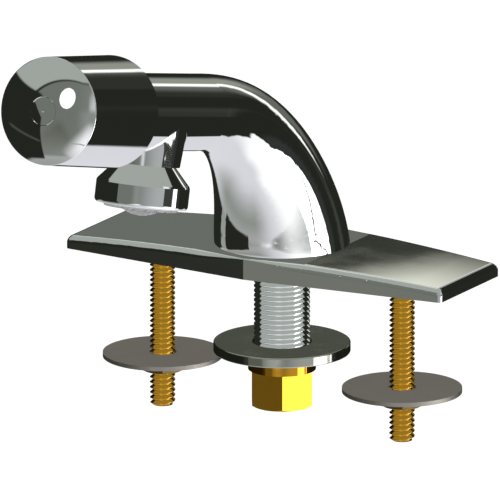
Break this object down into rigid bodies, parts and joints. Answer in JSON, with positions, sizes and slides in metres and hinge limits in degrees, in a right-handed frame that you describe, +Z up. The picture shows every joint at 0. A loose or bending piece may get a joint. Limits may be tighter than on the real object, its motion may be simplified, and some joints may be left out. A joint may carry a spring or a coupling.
{
  "type": "metering basin faucet",
  "caption": "Self-closing basin faucet: push cap on a rising barrel, spray outlet below, on a winged deck plate with threaded studs and shank.",
  "frame": {"origin": "on the supply shank's axis, at the deck plane, which is the deck plate's underside", "axes": "+X along the deck plate, -Y towards the basin, where the push cap and the outlet are, +Z up"},
  "size_m": [0.1588, 0.2071, 0.1773],
  "materials": {
    "chrome": "polished chrome plate",
    "cartridge_brass": "turned brass",
    "bright_brass": "bright machined brass",
    "stud_brass": "plain brass, slightly dull",
    "shank_metal": "pale plated, machined thread",
    "dark_steel": "dark grey face with a glossy edge",
    "washer_steel": "dull zinc plate",
    "stainless": "satin stainless",
    "rubber": "moulded rubber",
    "white_plastic": "white moulded plastic",
    "grey_plastic": "grey moulded plastic"
  },
  "bodies": {
    "spout": {"deck_plate": "chrome", "spout_body": "chrome", "outlet_shell": "chrome", "bonnet": "cartridge_brass", "base_seal": "rubber", "outlet_gasket": "rubber", "flow_regulator": "grey_plastic", "outlet_screen": "stainless", "outlet_insert": "white_plastic", "valve_seat": "cartridge_brass", "cartridge_body": "cartridge_brass", "cartridge_seal_rear": "rubber", "cartridge_seal_front": "rubber", "stem_seal": "rubber", "return_spring": "stainless", "shank": "shank_metal", "inlet_screen": "stainless", "inlet_washer": "rubber", "shank_washer": "dark_steel", "coupling_nut": "bright_brass", "stud_left": "stud_brass", "stud_washer_left": "washer_steel", "stud_nut_left": "stud_brass", "stud_right": "stud_brass", "stud_washer_right": "washer_steel", "stud_nut_right": "stud_brass"},
    "button": {"push_cap": "chrome", "cap_plug": "chrome", "cap_screw": "stainless", "stem": "cartridge_brass", "seat_washer": "rubber", "seat_screw": "stainless", "piston": "grey_plastic", "piston_cup": "rubber", "spring_follower": "stainless"}
  },
  "joints": [
    {"name": "cap_push", "type": "slide", "parent": "spout", "child": "button", "axis": [0, 0.9741, -0.2261], "range_m": [0, 0.006], "stiffness_N_per_m": 900, "springref_m": -0.01, "deforming": ["return_spring"]}
  ]
}
